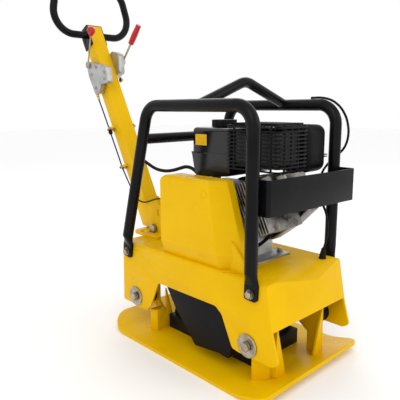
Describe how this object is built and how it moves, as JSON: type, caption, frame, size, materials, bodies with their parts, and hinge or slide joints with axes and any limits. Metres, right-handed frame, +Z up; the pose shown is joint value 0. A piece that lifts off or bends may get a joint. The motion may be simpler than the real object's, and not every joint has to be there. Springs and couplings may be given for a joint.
{
  "type": "vibratory plate compactor",
  "caption": "Reversible plate compactor: steel base plate on rubber mounts, petrol engine in a tube frame, belt drive to a geared exciter and a folding mast with a handle loop.",
  "frame": {"origin": "on the ground, at the middle of the base plate's flat sole", "axes": "+X is the travel direction away from the operator, +Y is the operator's left (starter side), +Z is up"},
  "size_m": [1.1294, 0.472, 1.2427],
  "materials": {
    "yellow_paint": "gloss yellow paint on steel",
    "black_paint": "semi-gloss black powder coat",
    "black_plastic": "moulded black plastic",
    "black_rubber": "black rubber",
    "zinc_steel": "zinc-plated steel",
    "cast_aluminium": "die-cast aluminium",
    "cast_iron": "cast iron",
    "machined_steel": "ground steel",
    "red_plastic": "glossy red plastic",
    "tank_enamel": "gloss black enamel",
    "dark_metal": "dark heat-resistant paint"
  },
  "bodies": {
    "base": {"base_plate": "yellow_paint", "plate_uprights": "yellow_paint", "exciter_housing": "black_paint", "exciter_covers": "black_paint", "exciter_bearings": "machined_steel", "rubber_mounts": "black_rubber"},
    "exciter_drive": {"drive_shaft": "machined_steel", "drive_weight": "cast_iron", "drive_gear": "machined_steel", "exciter_pulley": "cast_iron"},
    "exciter_idler": {"idler_shaft": "machined_steel", "idler_weight": "cast_iron", "idler_gear": "machined_steel"},
    "deck": {"engine_bed": "yellow_paint", "mount_bolts": "zinc_steel", "near_hoop": "black_paint", "far_hoop": "black_paint", "hoop_bolts": "zinc_steel", "rear_cross_bar": "black_paint", "lifting_bar": "black_paint", "front_plate": "black_paint", "belt_guard": "yellow_paint", "lower_belt_cover": "black_plastic", "v_belt": "black_rubber", "crankcase": "cast_aluminium", "cylinder_block": "cast_aluminium", "blower_shroud": "cast_aluminium", "cylinder_head": "cast_aluminium", "spark_plug_boot": "black_rubber", "muffler": "dark_metal", "muffler_guard": "black_paint", "air_cleaner": "black_plastic", "carburettor": "cast_aluminium", "fuel_tank": "tank_enamel", "recoil_cover": "black_paint", "oil_plug": "black_plastic", "engine_bolts": "zinc_steel", "mast_bracket": "yellow_paint", "mast_bolt": "zinc_steel", "mast_stop": "black_rubber", "throttle_cable_tail": "black_rubber", "control_hose": "black_rubber", "front_cable": "black_rubber", "cable_boot": "black_rubber"},
    "crank": {"crankshaft": "machined_steel", "flywheel": "cast_iron", "clutch_pulley": "cast_iron"},
    "cap": {"fuel_cap": "black_plastic"},
    "starter_grip": {"recoil_grip": "black_plastic"},
    "mast": {"mast": "yellow_paint", "mast_cap": "black_paint", "handle_loop": "black_paint", "throttle_box": "cast_aluminium", "direction_box": "cast_aluminium", "throttle_cable": "black_rubber", "cable_clips": "zinc_steel"},
    "throttle": {"throttle_lever": "zinc_steel", "throttle_knob": "red_plastic"},
    "direction": {"direction_lever": "zinc_steel", "direction_grip": "red_plastic"}
  },
  "joints": [
    {"name": "bounce", "type": "slide", "parent": "base", "child": "deck", "axis": [0, 0, 1], "range_m": [-0.004, 0.004], "stiffness_N_per_m": 700000, "springref_m": 0.0016, "deforming": ["rubber_mounts", "v_belt"]},
    {"name": "crank_spin", "type": "hinge", "parent": "deck", "child": "crank", "pos_m": [0.028, 0, 0.43], "axis": [0, 1, 0], "continuous": true},
    {"name": "exciter_spin", "type": "hinge", "parent": "base", "child": "exciter_drive", "pos_m": [0.11, 0, 0.1], "axis": [0, 1, 0], "continuous": true},
    {"name": "idler_spin", "type": "hinge", "parent": "base", "child": "exciter_idler", "pos_m": [0, 0, 0.1], "axis": [0, 1, 0], "continuous": true},
    {"name": "mast_fold", "type": "hinge", "parent": "deck", "child": "mast", "pos_m": [-0.308, 0, 0.322], "axis": [0, 1, 0], "range_deg": [0, 27], "deforming": ["throttle_cable_tail", "control_hose"]},
    {"name": "throttle_turn", "type": "hinge", "parent": "mast", "child": "throttle", "pos_m": [-0.684, -0.06, 0.916], "axis": [0, 1, 0], "range_deg": [0, 45]},
    {"name": "direction_turn", "type": "hinge", "parent": "mast", "child": "direction", "pos_m": [-0.622, 0.061, 0.93], "axis": [0, 1, 0], "range_deg": [-25, 25]},
    {"name": "cap_turn", "type": "hinge", "parent": "deck", "child": "cap", "pos_m": [-0.014, 0.008, 0.7], "axis": [0, 0, 1], "range_deg": [0, 90]},
    {"name": "starter_pull", "type": "slide", "parent": "deck", "child": "starter_grip", "axis": [0, 1, 0], "range_m": [0, 0.5], "stiffness_N_per_m": 8}
  ],
  "couplings": [
    {"joint": "exciter_spin", "follows": "crank_spin", "ratio": 1},
    {"joint": "idler_spin", "follows": "crank_spin", "ratio": -1}
  ]
}
